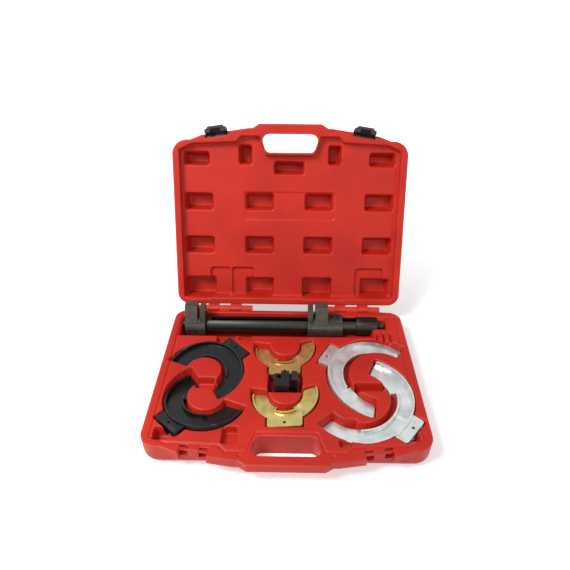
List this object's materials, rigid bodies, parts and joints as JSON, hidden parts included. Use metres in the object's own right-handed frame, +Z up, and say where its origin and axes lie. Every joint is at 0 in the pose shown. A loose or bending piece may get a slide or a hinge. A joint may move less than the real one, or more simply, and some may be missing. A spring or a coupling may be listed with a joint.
{
  "type": "coil spring compressor",
  "caption": "Internal coil spring compressor with slotted tube, two jaws, slip-on C yokes and an adapter block, lying in an open carrying case.",
  "frame": {"origin": "centre of the face the case rests on", "axes": "+Z up, +X along the hinge to the driven end of the compressor, +Y to the hinge side of the case"},
  "size_m": [0.445, 0.5227, 0.3713],
  "materials": {
    "red_case": "blow-moulded, softly satin",
    "black_latch": "moulded satin",
    "phosphated_steel": "dark phosphate, oiled",
    "black_coat": "black coating, semi-gloss",
    "zinc": "bright zinc plate over forged surface",
    "yellow_zinc": "yellow passivated zinc over forged surface",
    "bright_steel": "bright steel"
  },
  "bodies": {
    "base": {"case_base": "red_case", "hinge_pins": "bright_steel"},
    "lid": {"case_lid": "red_case", "latch_pins": "bright_steel"},
    "latch_left_body": {"latch_left": "black_latch"},
    "latch_right_body": {"latch_right": "black_latch"},
    "tool": {"slotted_tube": "phosphated_steel", "fixed_jaw": "phosphated_steel", "fixed_jaw_screws": "bright_steel", "end_cap": "phosphated_steel", "cap_screws": "bright_steel", "thrust_washers": "bright_steel", "thrust_balls": "bright_steel", "end_plug": "phosphated_steel", "detent_spring_fixed": "bright_steel"},
    "spindle_body": {"spindle": "phosphated_steel", "retaining_ring": "bright_steel"},
    "jaw_body": {"travelling_jaw": "phosphated_steel", "drive_nut": "phosphated_steel", "nut_screws": "bright_steel", "detent_spring_travelling": "bright_steel"},
    "ball_fixed": {"detent_ball_fixed": "bright_steel"},
    "ball_travelling": {"detent_ball_travelling": "bright_steel"},
    "adapter": {"adapter_block": "phosphated_steel", "detent_spring_adapter": "bright_steel"},
    "ball_adapter": {"detent_ball_adapter": "bright_steel"},
    "yoke_large_upper_body": {"yoke_large_upper": "zinc"},
    "yoke_large_lower_body": {"yoke_large_lower": "zinc"},
    "yoke_medium_upper_body": {"yoke_medium_upper": "black_coat"},
    "yoke_medium_lower_body": {"yoke_medium_lower": "black_coat"},
    "yoke_small_upper_body": {"yoke_small_upper": "yellow_zinc"},
    "yoke_small_lower_body": {"yoke_small_lower": "yellow_zinc"}
  },
  "joints": [
    {"name": "lid_hinge", "type": "hinge", "parent": "base", "child": "lid", "pos_m": [0, 0.1687, 0.0415], "axis": [-1, 0, 0], "range_deg": [-112.4, 0]},
    {"name": "latch_left_swing", "type": "hinge", "parent": "lid", "child": "latch_left_body", "pos_m": [-0.13815, 0.31169, 0.34511], "axis": [-0.9893, -0.0557, -0.1351], "range_deg": [-38, 87]},
    {"name": "latch_right_swing", "type": "hinge", "parent": "lid", "child": "latch_right_body", "pos_m": [0.13815, 0.31169, 0.34511], "axis": [-0.9893, 0.0557, 0.1351], "range_deg": [-38, 87]},
    {"name": "tool_lift", "type": "slide", "parent": "base", "child": "tool", "axis": [0, 0, 1], "range_m": [0, 0.12]},
    {"name": "spindle_spin", "type": "hinge", "parent": "tool", "child": "spindle_body", "pos_m": [0, 0.128, 0.034], "axis": [1, 0, 0], "range_deg": [0, 15300.01]},
    {"name": "jaw_slide", "type": "slide", "parent": "tool", "child": "jaw_body", "axis": [-1, 0, 0], "range_m": [0, 0.17]},
    {"name": "ball_fixed_press", "type": "slide", "parent": "tool", "child": "ball_fixed", "axis": [-1, 0, 0], "range_m": [0, 0.001], "stiffness_N_per_m": 1500, "springref_m": -0.0005, "deforming": ["detent_spring_fixed"]},
    {"name": "ball_travelling_press", "type": "slide", "parent": "jaw_body", "child": "ball_travelling", "axis": [1, 0, 0], "range_m": [0, 0.001], "stiffness_N_per_m": 1500, "springref_m": -0.0005, "deforming": ["detent_spring_travelling"]},
    {"name": "yoke_large_upper_lift", "type": "slide", "parent": "base", "child": "yoke_large_upper_body", "axis": [0, 0, 1], "range_m": [0, 0.12]},
    {"name": "yoke_large_lower_lift", "type": "slide", "parent": "base", "child": "yoke_large_lower_body", "axis": [0, 0, 1], "range_m": [0, 0.12]},
    {"name": "yoke_medium_upper_lift", "type": "slide", "parent": "base", "child": "yoke_medium_upper_body", "axis": [0, 0, 1], "range_m": [0, 0.12]},
    {"name": "yoke_medium_lower_lift", "type": "slide", "parent": "base", "child": "yoke_medium_lower_body", "axis": [0, 0, 1], "range_m": [0, 0.12]},
    {"name": "yoke_small_upper_lift", "type": "slide", "parent": "base", "child": "yoke_small_upper_body", "axis": [0, 0, 1], "range_m": [0, 0.12]},
    {"name": "yoke_small_lower_lift", "type": "slide", "parent": "base", "child": "yoke_small_lower_body", "axis": [0, 0, 1], "range_m": [0, 0.12]},
    {"name": "adapter_lift", "type": "slide", "parent": "base", "child": "adapter", "axis": [0, 0, 1], "range_m": [0, 0.12]},
    {"name": "ball_adapter_press", "type": "slide", "parent": "adapter", "child": "ball_adapter", "axis": [-1, 0, 0], "range_m": [0, 0.001], "stiffness_N_per_m": 1500, "springref_m": -0.0005, "deforming": ["detent_spring_adapter"]}
  ],
  "couplings": [
    {"joint": "spindle_spin", "follows": "jaw_slide", "rad_per_m": 1570.8}
  ]
}
